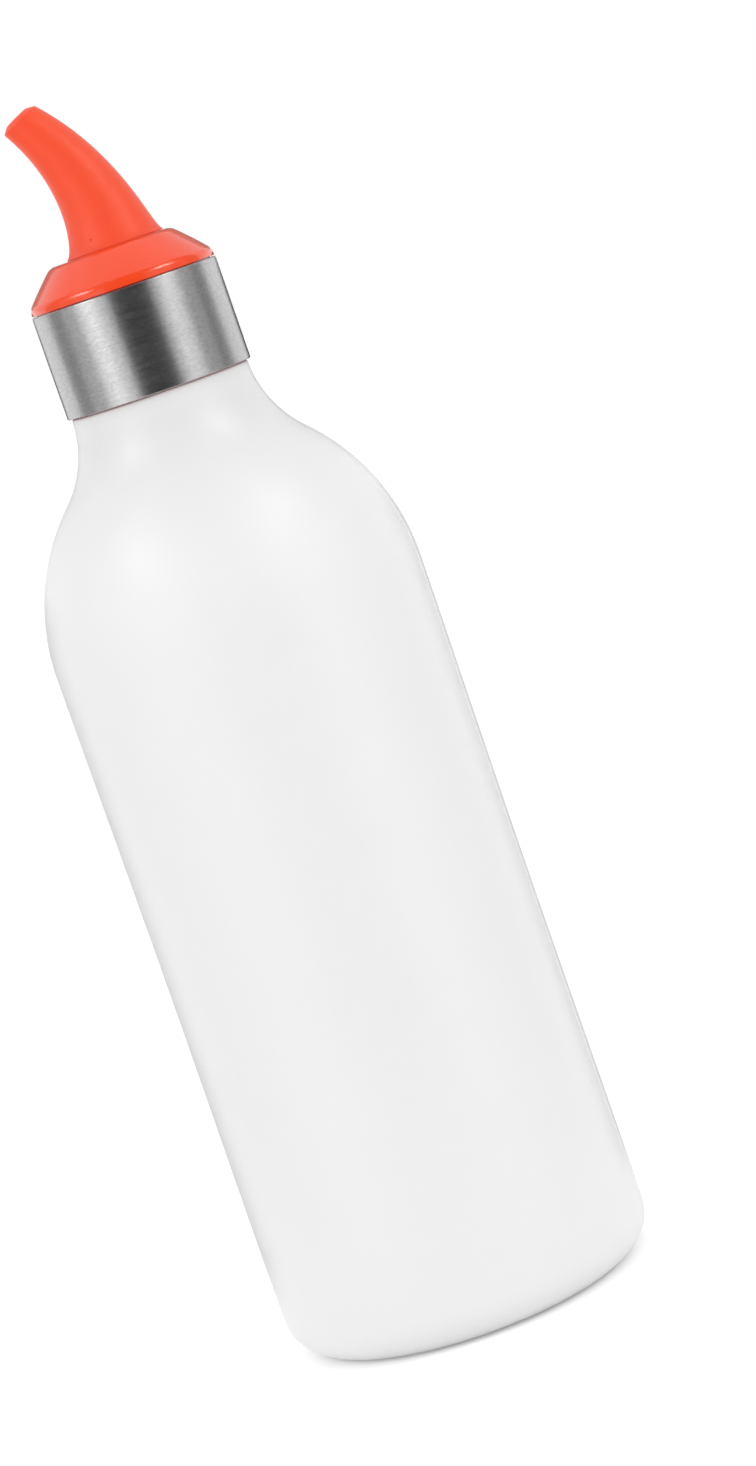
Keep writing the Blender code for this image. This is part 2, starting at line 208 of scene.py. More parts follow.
class BandSizes(bpy.types.PropertyGroup):
    wall: length("Wall", "Thickness of the steel", 0.00045)
    foot: length("Foot", "Height of the band's bottom edge", CAP_LOW.z - BAND_HANG)
    top: length("Top", "Height of the band's top edge", BAND_HIGH.z + BAND_REACH)
    radius: length("Radius", "Outer radius", BAND_HIGH.x)
    edge_round: length("Edge round", "Radius of the band's outer edges", 0.0002)


class SpoutSizes(bpy.types.PropertyGroup):
    flange_radius: length("Flange radius", "Radius of the flange under the cap's top", 0.0108)
    flange_thickness: length("Flange thickness", "Thickness of the flange", 0.0017)
    flange_round: length("Flange round", "Radius of the flange's edges", 0.0003)
    groove_radius: length("Groove radius", "Radius of the groove in the cap's hole", 0.0067)
    groove_wall: length("Groove wall", "Thickness of the wall at the groove", 0.0015)
    foot_radius: length("Foot radius", "Radius of the horn where it meets the cap", 0.00835)
    foot_offset: length("Foot offset", "Distance of the horn's foot from the axis", 0.00095)
    foot_gap: length("Foot gap", "Gap between the horn's foot and the cap", 0.00003)
    tip_radius: length("Tip radius", "Outer radius of the tip", 0.0035)
    tip_bore: length("Tip bore", "Radius of the opening in the tip", 0.0019)
    tip_round: length("Tip round", "Radius of the tip's outer edge", 0.0003)
    tip_crown: length("Tip crown", "How far the tip's opening stands above its edge", 0.0006)
    tip_bulge: share("Tip bulge", "How much the tip's end is domed between its edges", 0.4)
    bore_round: length("Bore round", "Radius of the edge of the tip's opening", 0.0002)
    rise: length("Rise", "Height of the horn above the cap", 0.0257)
    start_lean: angle("Start lean", "Lean of the horn at its foot", -1.1)
    end_lean: angle("End lean", "Lean of the horn at its tip", 38.5)
    tip_cut: angle("Tip cut", "Slope of the cut across the tip", 25.5)
    taper: amount("Taper", "How early the horn narrows, lower is earlier", 0.63)
    gate_height: length("Gate height", "Height of the moulding's small mark above the cap", 0.0026)
    gate_turn: angle("Gate turn", "Turn of the gate mark from -Y towards the lean", 28.7)
    gate_depth: length("Gate depth", "Depth of the gate mark", 0.00015)


class Finishes(bpy.types.PropertyGroup):
    bottle: shade("Bottle", "Frosted plastic of the bottle", 243, 243, 243)
    cap: shade("Cap", "Glossy plastic of the cap", 243, 70, 20)
    spout: shade("Spout", "Soft plastic of the spout", 247, 73, 24)
    steel: shade("Steel", "Brushed steel of the band", 197, 196, 197)
    seal: shade("Seal", "Silicone of the sealing ring", 232, 232, 228)
    bottle_roughness: share("Bottle roughness", "Roughness of the frosted surface", 0.38)
    cap_roughness: share("Cap roughness", "Roughness of the cap", 0.22)
    spout_roughness: share("Spout roughness", "Roughness of the spout", 0.52)
    steel_roughness: share("Steel roughness", "Roughness of the brushed steel", 0.36)
    seal_roughness: share("Seal roughness", "Roughness of the sealing ring", 0.6)


class StageSettings(bpy.types.PropertyGroup):
    floor: shade("Floor", "Colour of the floor", 246, 246, 246)
    floor_radius: length("Floor radius", "Radius of the round floor", 6.0)
    fill: amount("Fill", "Strength of the even light from all round", 0.98)
    left_lamp: number("Left lamp", "Power of the left soft box", 1.2, unit="POWER")
    right_lamp: number("Right lamp", "Power of the right soft box", 1.15, unit="POWER")
    lamp_turn: angle("Lamp turn", "Turn of each soft box from the camera's side", 48)
    lamp_lift: angle("Lamp lift", "Height of each soft box above the horizon", 34)
    lamp_distance: length("Lamp distance", "Distance of each soft box from the bottle", 1.2)
    lamp_width: length("Lamp width", "Width of each soft box", 0.16)
    lamp_height: length("Lamp height", "Height of each soft box", 0.2)
    lens: number("Lens", "Focal length of the camera", 101.05, unit="CAMERA")


class SqueezeBottle(bpy.types.PropertyGroup):
    bottle: PointerProperty(type=BottleSizes)
    neck: PointerProperty(type=NeckSizes)
    thread: PointerProperty(type=ThreadSizes)
    cap: PointerProperty(type=CapSizes)
    band: PointerProperty(type=BandSizes)
    spout: PointerProperty(type=SpoutSizes)
    finishes: PointerProperty(type=Finishes)
    stage: PointerProperty(type=StageSettings)
    turn_segments: tally("Turn segments", "Sides of each turned piece", 144)
    horn_segments: tally("Horn segments", "Sides of the horn", 96)
    thread_steps: tally("Thread steps", "Steps of the thread in one turn", 48)


# Profiles of the turned pieces, in (radius, height)


def arc(centre, radius, start, end, steps):
    turns = [start + (end - start) * step / steps for step in range(steps + 1)]
    return [centre + radius * Vector((math.cos(turn), math.sin(turn))) for turn in turns]


def smooth_step(part):
    return part * part * (3 - 2 * part)


def land_height(sizes):
    return sizes.bottle.wall_height + sizes.bottle.shoulder_rise


def cap_inner_radius(sizes):
    return sizes.neck.radius + sizes.thread.depth + sizes.thread.gap


def land_radius(sizes):
    return cap_inner_radius(sizes) + sizes.cap.skirt_wall


def wall_radius(bottle, height):
    full_draw = bottle.waist_draw
    if height < bottle.waist_height:
        part = (height - bottle.heel_round) / (bottle.waist_height - bottle.heel_round)
        return bottle.radius - full_draw * smooth_step(part)
    part = (height - bottle.waist_height) / (bottle.wall_height - bottle.waist_height)
    return bottle.radius - full_draw + (full_draw - bottle.shoulder_draw) * smooth_step(part)


def wall_points(bottle, inset, steps):
    rise = bottle.wall_height - bottle.heel_round
    heights = [bottle.heel_round + rise * step / steps for step in range(1, steps)]
    return [Vector((wall_radius(bottle, height) - inset, height)) for height in heights]


def heel_points(bottle, inset, steps):
    centre = Vector((bottle.radius - bottle.heel_round, bottle.heel_round))
    return arc(centre, bottle.heel_round - inset, -math.pi / 2, 0, steps)


def push_up_points(bottle, inset, steps):
    """The base's shallow dome, from next to the axis out to the standing ring."""
    reach = bottle.radius - bottle.heel_round - bottle.standing_ring
    dome_radius = (reach ** 2 + bottle.push_up ** 2) / (2 * bottle.push_up)
    centre = Vector((0, bottle.push_up - dome_radius + inset))
    half_span = math.asin(reach / dome_radius)
    return arc(centre, dome_radius, math.pi / 2, math.pi / 2 - half_span, steps)[1:]


def shoulder_points(sizes, inset, end_drop, convex_steps, hollow_steps):
    """The shoulder's two arcs, from the wall up to a drop below the land."""
    bottle = sizes.bottle
    top_radius = bottle.radius - bottle.shoulder_draw
    step_in = top_radius - land_radius(sizes)
    both_radii = (step_in ** 2 + bottle.shoulder_rise ** 2) / (2 * step_in)
    convex_radius = both_radii - bottle.neck_fillet
    convex_centre = Vector((top_radius - convex_radius, bottle.wall_height))
    hollow_centre = Vector((land_radius(sizes) + bottle.neck_fillet, land_height(sizes)))
    between = hollow_centre - convex_centre
    meeting = math.atan2(between.y, between.x)
    convex = arc(convex_centre, convex_radius - inset, 0, meeting, convex_steps)
    hollow_radius = bottle.neck_fillet + inset
    end = math.pi + math.asin(end_drop / hollow_radius)
    return convex + arc(hollow_centre, hollow_radius, math.pi + meeting, end, hollow_steps)[1:]


def skin_points(sizes, inset, end_drop, steps):
    """One skin of the bottle, from next to the axis up to a drop below the land."""
    bottle = sizes.bottle
    dome, heel, wall, convex, hollow = steps
    low = push_up_points(bottle, inset, dome) + heel_points(bottle, inset, heel)
    high = shoulder_points(sizes, inset, end_drop, convex, hollow)
    return low + wall_points(bottle, inset, wall) + high


def unrounded(points):
    return [(*point, 0) for point in points]


def bottle_profile(sizes):
    """(radius, height, rounding) up the outside, over the rim and down the inside."""
    bottle = sizes.bottle
    neck = sizes.neck
    land = land_height(sizes)
    bore = neck.radius - neck.wall
    outside = skin_points(sizes, 0, bottle.land_round * 2, OUTSIDE_STEPS)
    corners = [
        (land_radius(sizes), land, bottle.land_round),
        (neck.radius, land, neck.rim_round),
        (neck.radius, neck.rim_height, neck.rim_round),
        (bore, neck.rim_height, neck.rim_round),
        (bore, land - neck.throat_depth, neck.throat_round),
    ]
    inside = skin_points(sizes, bottle.wall, neck.throat_drop, INSIDE_STEPS)
    return unrounded(outside) + corners + unrounded(inside[::-1])


def slope_points(cap):
    """Points of the slightly domed slope round the cap's top, between its two ends."""
    low = Vector((cap.lip_radius, CAP_HIGH.z - cap.bevel_height))
    high = Vector((cap.lip_radius - cap.bevel_width, CAP_HIGH.z))
    outward = Vector((cap.bevel_height, cap.bevel_width)).normalized()
    parts = [step / SLOPE_STEPS for step in range(1, SLOPE_STEPS)]
    return [
        low.lerp(high, part) + outward * (4 * part * (1 - part) * cap.slope_bulge)
        for part in parts
    ]


def cap_profile(sizes):
    """(radius, height, rounding) round the cap's section, from the skirt's outer foot."""
    cap = sizes.cap
    gap = sizes.thread.seat_gap
    inner = cap_inner_radius(sizes)
    skirt = inner + cap.skirt_wall
    hole = sizes.spout.groove_radius + gap
    top = CAP_HIGH.z
    plate = top - cap.plate_thickness
    slope_foot = top - cap.bevel_height
    lip = slope_foot - cap.lip_thickness
    seat = RING_HIGH.x + gap
    return [
        (skirt, CAP_LOW.z, cap.edge_round),
        (skirt, sizes.band.top, 0),
        (skirt - cap.undercut, sizes.band.top, 0),
        (skirt - cap.undercut, lip, 0),
        (cap.lip_radius, lip, cap.lip_round),
        (cap.lip_radius, slope_foot, cap.foot_round),
        *unrounded(slope_points(cap)),
        (cap.lip_radius - cap.bevel_width, top, cap.top_round),
        (hole, top, cap.edge_round),
        (hole, plate, 0),
        (sizes.spout.flange_radius + gap, plate, cap.edge_round),
        (seat, SPOUT_LOW.z, cap.edge_round),
        (seat, sizes.neck.rim_height, 0),
        (inner, sizes.neck.rim_height - cap.seat_step, 0),
        (inner, CAP_LOW.z, cap.edge_round),
    ]


def band_profile(band):
    inner = band.radius - band.wall
    return [
        (inner, band.foot, 0),
        (band.radius, band.foot, band.edge_round),
        (band.radius, band.top, band.edge_round),
        (inner, band.top, 0),
    ]


# Rings of the spout, as (centre, radius, tilt)


def horn_centre(spout, part, foot):
    """A point on the horn's centreline, an arc whose lean grows evenly from foot to tip."""
    first, last = spout.start_lean, spout.end_lean
    rise_of_centre = spout.rise - (spout.tip_radius - spout.tip_round) * math.sin(spout.tip_cut)
    arc_radius = rise_of_centre / (math.sin(last) - math.sin(first))
    lean = first + (last - first) * part
    return Vector((
        spout.foot_offset + arc_radius * (math.cos(lean) - math.cos(first)),
        0,
        foot + arc_radius * (math.sin(lean) - math.sin(first)),
    ))


def horn_ring(spout, part, foot, inset):
    radius = spout.foot_radius + (spout.tip_radius - spout.foot_radius) * part ** spout.taper
    return horn_centre(spout, part, foot), radius - inset, spout.tip_cut * part


def bore_ring(spout, part, foot):
    """One ring of the bore, from the cap's axis to the horn's centreline at the tip."""
    centre = horn_centre(spout, part, foot)
    centre.x -= spout.foot_offset * (1 - part) ** 2
    start = spout.groove_radius - spout.groove_wall
    return centre, start + (spout.tip_bore - start) * part, spout.tip_cut * part


def mouth_rings(spout, foot):
    """The tip's domed end, from inside its rounded outer edge over the edge of its opening."""
    centre = horn_centre(spout, 1, foot)
    normal = Vector((-math.sin(spout.tip_cut), 0, math.cos(spout.tip_cut)))
    outer = spout.tip_radius - spout.tip_round
    inner = spout.tip_bore + spout.bore_round
    rings = []
    for step in range(1, MOUTH_STEPS + 1):
        part = step / MOUTH_STEPS
        rise = spout.tip_crown * part * (1 + spout.tip_bulge * (1 - part))
        rings.append((centre + normal * rise, outer + (inner - outer) * part, spout.tip_cut))
    for cosine, sine in quarter_turns(EDGE_STEPS)[1:]:
        rise = spout.tip_crown - spout.bore_round * (1 - cosine)
        rings.append((centre + normal * rise, inner - spout.bore_round * sine, spout.tip_cut))
    return rings


def quarter_turns(steps):
    """(cosine, sine) over a quarter turn, with both ends."""
    turns = [math.pi / 2 * step / steps for step in range(steps + 1)]
    return [(math.cos(turn), math.sin(turn)) for turn in turns]


def spout_rings(spout):
    """Rings from the flange's underside up the outside, over the tip and down the bore."""
    low = SPOUT_LOW.z
    high = low + spout.flange_thickness
    ledge = CAP_HIGH.z + spout.foot_gap
    foot = SPOUT_HIGH.z - spout.rise
    bend = spout.flange_round
    flange = spout.flange_radius
    quarter = quarter_turns(EDGE_STEPS)
    levels = [(flange - bend * (1 - sine), low + bend * (1 - cosine)) for cosine, sine in quarter]
    levels += [(flange - bend * (1 - cosine), high - bend * (1 - sine)) for cosine, sine in quarter]
    levels += [(spout.groove_radius, high), (spout.groove_radius, ledge)]
    rings = [(Vector((0, 0, height)), radius, 0) for radius, height in levels]
    rings.append((Vector((spout.foot_offset, 0, ledge)), spout.foot_radius, 0))
    tip_part = spout.tip_round / spout.rise
    rings += [
        horn_ring(spout, (1 - tip_part) * (station / HORN_STATIONS) ** HORN_CROWDING, foot, 0)
        for station in range(HORN_STATIONS)
    ]
    rings += [
        horn_ring(spout, 1 - tip_part * (1 - sine), foot, spout.tip_round * (1 - cosine))
        for cosine, sine in quarter
    ]
    rings += mouth_rings(spout, foot)
    rings += [
        bore_ring(spout, 1 - station / BORE_STATIONS, foot) for station in range(BORE_STATIONS + 1)
    ]
    rings.append((Vector((0, 0, low)), spout.groove_radius - spout.groove_wall, 0))
    return rings


# Modelling steps


def make_active(piece):
    bpy.ops.object.select_all(action="DESELECT")
    piece.select_set(True)
    bpy.context.view_layer.objects.active = piece


def open_for_editing(name):
    """Names the new primitive, puts its place in its mesh and opens it with all of it selected."""
    piece = bpy.context.object
    piece.name = name
    piece.data.name = name
    bpy.ops.object.transform_apply(location=True, rotation=True, scale=True)
    bpy.ops.object.mode_set(mode="EDIT")
    bpy.ops.mesh.select_mode(type="EDGE")
    bpy.ops.mesh.select_all(action="SELECT")
    return piece


def open_again(piece, kind):
    """Opens a finished piece with none of it selected, to pick edges or faces."""
    make_active(piece)
    bpy.ops.object.mode_set(mode="EDIT")
    bpy.ops.mesh.select_mode(type=kind)
    bpy.ops.mesh.select_all(action="DESELECT")


def open_circle(name, radius, height, segments):
    bpy.ops.object.select_all(action="DESELECT")
    bpy.ops.mesh.primitive_circle_add(vertices=segments, radius=radius, location=(0, 0, height))
    return open_for_editing(name)


def open_rim():
    """Selects the edges that bound only one face."""
    bpy.ops.mesh.select_all(action="DESELECT")
    bpy.ops.mesh.select_non_manifold()


def extrude_rings(rings):
    """Extrudes the selected ring from each (centre, radius, tilt) to the next."""
    for (start, start_radius, start_tilt), (end, radius, tilt) in zip(rings, rings[1:]):
        bpy.ops.mesh.extrude_edges_move(TRANSFORM_OT_translate={"value": end - start})
        growth = radius / start_radius
        bpy.ops.transform.resize(value=(growth, growth, growth), center_override=end)
        turn = tilt - start_tilt
        if turn:
            bpy.ops.transform.rotate(value=turn, orient_axis="Y", center_override=end)


def extrude_profile(profile):
    """Extrudes the selected ring through a profile about the Z axis, from its first point."""
    extrude_rings([(Vector((0, 0, height)), radius, 0) for radius, height, _ in profile])


def close_pole(ring_height, pole_height):
    """Closes the selected ring with faces that meet on the Z axis."""
    rise = (0, 0, pole_height - ring_height)
    bpy.ops.mesh.extrude_edges_move(TRANSFORM_OT_translate={"value": rise})
    bpy.ops.mesh.merge(type="CENTER")


def select_edges(fits):
    """Selects the edges of the open piece whose two ends pass a test, and no others."""
    bpy.ops.mesh.select_all(action="DESELECT")
    mesh = bpy.context.object.data
    shape = bmesh.from_edit_mesh(mesh)
    for edge in shape.edges:
        if all(fits(vert) for vert in edge.verts):
            edge.select_set(True)
    bmesh.update_edit_mesh(mesh)


def select_ring(radius, height):
    def on_ring(vert):
        at_height = abs(vert.co.z - height) < PLACE_TOLERANCE
        return at_height and abs(vert.co.xy.length - radius) < PLACE_TOLERANCE

    select_edges(on_ring)


def round_ring(before, corner, after):
    """Bevels one ring of a turned piece to its rounding, as far as the sides next to it allow."""
    here = Vector(corner[:2])
    back = Vector(before[:2]) - here
    ahead = Vector(after[:2]) - here
    offset = corner[2] / math.tan(back.angle(ahead) / 2)
    offset = min(offset, SIDE_SHARE * min(back.length, ahead.length))
    steps = LEAST_ROUND_STEPS + round(corner[2] / ROUND_STEP)
    select_ring(corner[0], corner[1])
    bpy.ops.mesh.bevel(
        offset=offset, offset_type="OFFSET", segments=steps, profile=0.5, affect="EDGES",
    )


def round_corners(profile):
    for before, corner, after in zip([profile[-1], *profile], profile, [*profile[1:], profile[0]]):
        if corner[2]:
            round_ring(before, corner, after)


def close_editing():
    """Ends the edit of a closed shell, with its doubles merged and its faces pointing outwards."""
    bpy.ops.mesh.select_all(action="SELECT")
    bpy.ops.mesh.remove_doubles(threshold=MERGE_DISTANCE)
    bpy.ops.mesh.normals_make_consistent(inside=False)
    bpy.ops.object.mode_set(mode="OBJECT")


def turn_ring(name, profile, segments):
    """A ring-shaped piece, turned about the Z axis from a closed section."""
    piece = open_circle(name, profile[0][0], profile[0][1], segments)
    extrude_profile(profile)
    open_rim()
    bpy.ops.mesh.bridge_edge_loops()
    round_corners(profile)
    close_editing()
    return piece


def turn_vessel(name, profile, outer_pole, inner_pole, segments):
    """A hollow vessel, turned about the Z axis from a section whose two ends close on the axis."""
    piece = open_circle(name, profile[0][0], profile[0][1], segments)
    close_pole(profile[0][1], outer_pole)
    open_rim()
    extrude_profile(profile)
    close_pole(profile[-1][1], inner_pole)
    round_corners(profile)
    close_editing()
    return piece


def apply_modifier(piece, kind, **settings):
    make_active(piece)
    bpy.ops.object.modifier_add(type=kind)
    modifier = piece.modifiers[-1]
    for key, value in settings.items():
        setattr(modifier, key, value)
    bpy.ops.object.modifier_apply(modifier=modifier.name)


def smooth_shading(piece):
    make_active(piece)
    bpy.ops.object.shade_smooth_by_angle(angle=SHARP_EDGE)
    apply_modifier(piece, "WEIGHTED_NORMAL", keep_sharp=True)


def thread_ridge(name, thread, crest_radius, root_radius, turns, foot, steps_per_turn):
    """A helical ridge that rises right-handed from foot, and sinks into its wall at both ends."""
    outward = crest_radius - root_radius
    deep = abs(outward)
    middle = (crest_radius + root_radius) / 2
    root_width = thread.crest + 2 * deep * math.tan(thread.flank)
    count = round(turns * steps_per_turn)
    sweep = turns * 2 * math.pi
    turned = [sweep * step / count for step in range(count + 1)]
    fades = [
        max(LEAST_FADE, smooth_step(min(1, turn / thread.fade, (sweep - turn) / thread.fade)))
        for turn in turned
    ]
    centre = (middle, 0, foot)
    bpy.ops.object.select_all(action="DESELECT")
    bpy.ops.mesh.primitive_plane_add(size=1, location=centre, rotation=(math.pi / 2, 0, 0))
    ridge = open_for_editing(name)
    bpy.ops.transform.resize(value=(deep, 1, root_width), center_override=centre)
    select_edges(lambda vert: (vert.co.x - middle) * outward > 0)
    bpy.ops.transform.resize(value=(1, 1, thread.crest / root_width), center_override=centre)
    bpy.ops.mesh.select_all(action="SELECT")
    bpy.ops.transform.resize(value=(fades[0], 1, 1), center_override=(root_radius, 0, foot))
    for turn, fade, fade_before in zip(turned[1:], fades[1:], fades):
        bpy.ops.mesh.extrude_region_move()
        bpy.ops.transform.rotate(value=-sweep / count, orient_axis="Z", center_override=(0, 0, 0))
        bpy.ops.transform.translate(value=(0, 0, thread.pitch * turns / count))
        root = (root_radius * math.cos(turn), root_radius * math.sin(turn), 0)
        growth = fade / fade_before
        bpy.ops.transform.resize(value=(growth, growth, 1), center_override=root)
    close_editing()
    return ridge


def join_ridge(piece, ridge):
    """Makes the ridge part of the piece's own shell."""
    apply_modifier(piece, "BOOLEAN", operation="UNION", solver="EXACT", object=ridge)
    bpy.data.objects.remove(ridge, do_unlink=True)


def raise_seam(piece, bottle, low, high):
    """Raises the mould's parting line, a fine ridge up both sides of the outer wall."""
    across = Vector((-math.sin(bottle.seam_turn), math.cos(bottle.seam_turn)))

    def on_seam(vert):
        on_line = abs(vert.co.xy.dot(across)) < PLACE_TOLERANCE
        return on_line and low < vert.co.z < high and vert.normal.xy.dot(vert.co.xy) > 0

    open_again(piece, "EDGE")
    select_edges(on_seam)
    bpy.ops.mesh.bevel(offset=bottle.seam_width / 2, segments=2, affect="EDGES")
    select_edges(on_seam)
    growth = 1 + bottle.seam_height / bottle.radius
    bpy.ops.transform.resize(value=(growth, growth, 1), center_override=(0, 0, 0))
    bpy.ops.object.mode_set(mode="OBJECT")


# Pieces


def make_bottle_shell(sizes):
    bottle = sizes.bottle
    neck = sizes.neck
    thread = sizes.thread
    profile = bottle_profile(sizes)
    inner_pole = bottle.push_up + bottle.wall
    shell = turn_vessel("bottle_shell", profile, bottle.push_up, inner_pole, sizes.turn_segments)
    raise_seam(shell, bottle, bottle.heel_round / 2, land_height(sizes) - bottle.land_round * 3)
    ridge = thread_ridge(
        "neck_ridge", thread, neck.radius + thread.depth, neck.radius - thread.sink,
        thread.neck_turns, neck_thread_foot(sizes), sizes.thread_steps,
    )
    join_ridge(shell, ridge)
    smooth_shading(shell)
    return shell


def neck_thread_foot(sizes):
    thread = sizes.thread
    return sizes.neck.rim_height - thread.drop - thread.neck_turns * thread.pitch


def make_cap(sizes):
    neck = sizes.neck
    thread = sizes.thread
    crest = neck.radius + thread.gap
    flank_overlap = (neck.radius + thread.depth - crest) * math.tan(thread.flank)
    foot = neck_thread_foot(sizes) - thread.crest - flank_overlap - thread.seat_gap
    cap = turn_ring("screw_cap", cap_profile(sizes), sizes.turn_segments)
    ridge = thread_ridge(
        "cap_ridge", thread, crest, cap_inner_radius(sizes) + thread.sink,
        thread.cap_turns, foot, sizes.thread_steps,
    )
    join_ridge(cap, ridge)
    smooth_shading(cap)
    return cap


def make_band(sizes):
    band = turn_ring("brushed_band", band_profile(sizes.band), sizes.turn_segments)
    smooth_shading(band)
    return band


def sink_gate_mark(horn, spout):
    """Sinks the small mark that the mould's gate leaves, at one face near the horn's foot."""
    open_again(horn, "FACE")
    outward = Vector((-math.sin(spout.gate_turn), -math.cos(spout.gate_turn), 0))
    middle = Vector((spout.foot_offset, 0, CAP_HIGH.z + spout.gate_height))
    place = middle + outward * spout.foot_radius
    shape = bmesh.from_edit_mesh(horn.data)
    min(shape.faces, key=lambda face: (face.calc_center_median() - place).length).select_set(True)
    bmesh.update_edit_mesh(horn.data)
    bpy.ops.mesh.inset(thickness=spout.gate_depth / 3, depth=-spout.gate_depth)
    bpy.ops.object.mode_set(mode="OBJECT")


def make_horn(sizes):
    rings = spout_rings(sizes.spout)
    horn = open_circle("horn_spout", rings[0][1], rings[0][0].z, sizes.horn_segments)
    extrude_rings(rings)
    open_rim()
    bpy.ops.mesh.bridge_edge_loops()
    close_editing()
    sink_gate_mark(horn, sizes.spout)
    smooth_shading(horn)
    return horn


# Finishes


class Finish:
    """A Principled material and the few nodes that give it its grain, and on the bottle its painted
    shade.
    """

    def __init__(self, name, colour):
        self.colour = tuple(colour)
        self.material = bpy.data.materials.new(name)
        self.material.use_nodes = True
        self.material.diffuse_color = (*self.colour, 1)
        self.nodes = self.material.node_tree.nodes
        self.links = self.material.node_tree.links
        self.shader = self.nodes["Principled BSDF"]
        self.place = self.nodes.new("ShaderNodeTexCoord").outputs["Object"]

    def settings(self, **values):
        for key, value in values.items():
            title = key.replace("_", " ").title().replace("Ior", "IOR")
            self.shader.inputs[title].default_value = value

    def stretched(self, scale):
        """Object coordinates stretched along each axis."""
        mapping = self.nodes.new("ShaderNodeMapping")
        mapping.inputs["Scale"].default_value = scale
        self.links.new(self.place, mapping.inputs["Vector"])
        return mapping.outputs["Vector"]

    def grain(self, scale, detail=3, roughness=0.5, place=None):
        noise = self.nodes.new("ShaderNodeTexNoise")
        for key, value in (("Scale", scale), ("Detail", detail), ("Roughness", roughness)):
            noise.inputs[key].default_value = value
        self.links.new(place or self.place, noise.inputs["Vector"])
        return noise.outputs["Fac"]

    def brushing(self, around, upwards, detail, roughness=0.6):
        """A grain drawn out into strokes round the Z axis."""
        return self.grain(1, detail, roughness, self.stretched((around, around, upwards)))

    def ranged(self, source, low, high, start=0.3, end=0.7):
        """A value brought from the noise's range to a range of its own."""
        span = self.nodes.new("ShaderNodeMapRange")
        ends = {"From Min": start, "From Max": end, "To Min": low, "To Max": high}
        for key, value in ends.items():
            span.inputs[key].default_value = value
        self.links.new(source, span.inputs["Value"])
        return span.outputs["Result"]

    def height(self, start, end):
        """0 at one height and 1 at another, smooth between them and level beyond."""
        split = self.nodes.new("ShaderNodeSeparateXYZ")
        self.links.new(self.place, split.inputs["Vector"])
        rise = self.ranged(split.outputs["Z"], 0, 1, start, end)
        rise.node.interpolation_type = "SMOOTHSTEP"
        return rise

    def tinted(self, source, dark, pale=1):
        """The base colour, between two shades of the finish's own colour by a value."""
        mix = self.nodes.new("ShaderNodeMix")
        mix.data_type = "RGBA"
        for key, factor in (("A", dark), ("B", pale)):
            mix.inputs[key].default_value = (*[part * factor for part in self.colour], 1)
        self.links.new(source, mix.inputs["Factor"])
        self.links.new(mix.outputs["Result"], self.shader.inputs["Base Color"])

    def blended(self, first, second, part):
        """A value between two others."""
        mix = self.nodes.new("ShaderNodeMix")
        mix.inputs["Factor"].default_value = part
        self.links.new(first, mix.inputs["A"])
        self.links.new(second, mix.inputs["B"])
        return mix.outputs["Result"]

    def clouded(self, scale, dark):
        """The base colour with soft darker clouds in it."""
        self.tinted(self.ranged(self.grain(scale), 0, 1), dark)

    def rough(self, source, level, below, above):
        """A roughness that a value takes from a little below a level to a little above it."""
        spread = self.ranged(source, level - below, level + above)
        self.links.new(spread, self.shader.inputs["Roughness"])

    def bump(self, source, distance, strength):
        bump = self.nodes.new("ShaderNodeBump")
        bump.inputs["Strength"].default_value = strength
        bump.inputs["Distance"].default_value = distance
        self.links.new(source, bump.inputs["Height"])
        self.links.new(bump.outputs["Normal"], self.shader.inputs["Normal"])


def frosted_plastic(finishes):
    finish = Finish("frosted_plastic", finishes.bottle)
    finish.settings(
        subsurface_weight=0.3, subsurface_scale=0.004, subsurface_radius=(1, 1, 1),
        specular_ior_level=0.4,
    )
    cloud = finish.ranged(finish.grain(45), 0, 1)
    # Painted shade: the base colour darkens up towards the neck below the band, blended with soft
    # random clouds
    neck = finish.height(PAINTED_SHADE_DARK_HEIGHT, PAINTED_SHADE_PALE_HEIGHT)
    finish.tinted(finish.blended(cloud, neck, PAINTED_SHADE_SHARE), dark=0.87)
    finish.rough(finish.grain(260), finishes.bottle_roughness, below=0.03, above=0.04)
    finish.bump(finish.grain(1400), distance=0.00003, strength=0.25)
    return finish.material


def glossy_plastic(finishes):
    finish = Finish("glossy_plastic", finishes.cap)
    finish.settings(
        coat_weight=0.8, coat_roughness=0.15, specular_ior_level=0.25,
        subsurface_weight=0.1, subsurface_scale=0.0015,
    )
    finish.clouded(90, dark=0.96)
    finish.rough(finish.grain(420, detail=4), finishes.cap_roughness, below=0.04, above=0.06)
    finish.bump(finish.grain(380, detail=1), distance=0.00002, strength=0.2)
    return finish.material


def soft_plastic(finishes):
    finish = Finish("soft_plastic", finishes.spout)
    finish.settings(
        subsurface_weight=0.15, subsurface_scale=0.002, specular_ior_level=0.4,
        sheen_weight=0.22, sheen_roughness=0.4,
    )
    finish.clouded(110, dark=0.95)
    finish.rough(finish.grain(700), finishes.spout_roughness, below=0.05, above=0.05)
    finish.bump(finish.grain(2200, detail=2), distance=0.00003, strength=0.3)
    return finish.material


def brushed_steel(finishes):
    finish = Finish("brushed_steel", finishes.steel)
    finish.settings(metallic=1, anisotropic=0.85, anisotropic_rotation=0.25)
    tangent = finish.nodes.new("ShaderNodeTangent")
    tangent.direction_type = "RADIAL"
    tangent.axis = "Z"
    finish.links.new(tangent.outputs["Tangent"], finish.shader.inputs["Tangent"])
    strokes = finish.brushing(160, 3600, detail=3)
    lines = finish.brushing(420, 9000, detail=2)
    specks = finish.brushing(1200, 2600, detail=4, roughness=0.75)
    sparkle = finish.ranged(finish.blended(strokes, specks, 0.75), 0, 1, start=0.38, end=0.62)
    finish.tinted(sparkle, dark=0.84, pale=1.11)
    finish.rough(strokes, finishes.steel_roughness, below=0.04, above=0.06)
    finish.bump(finish.blended(lines, specks, 0.5), distance=0.00005, strength=0.4)
    return finish.material


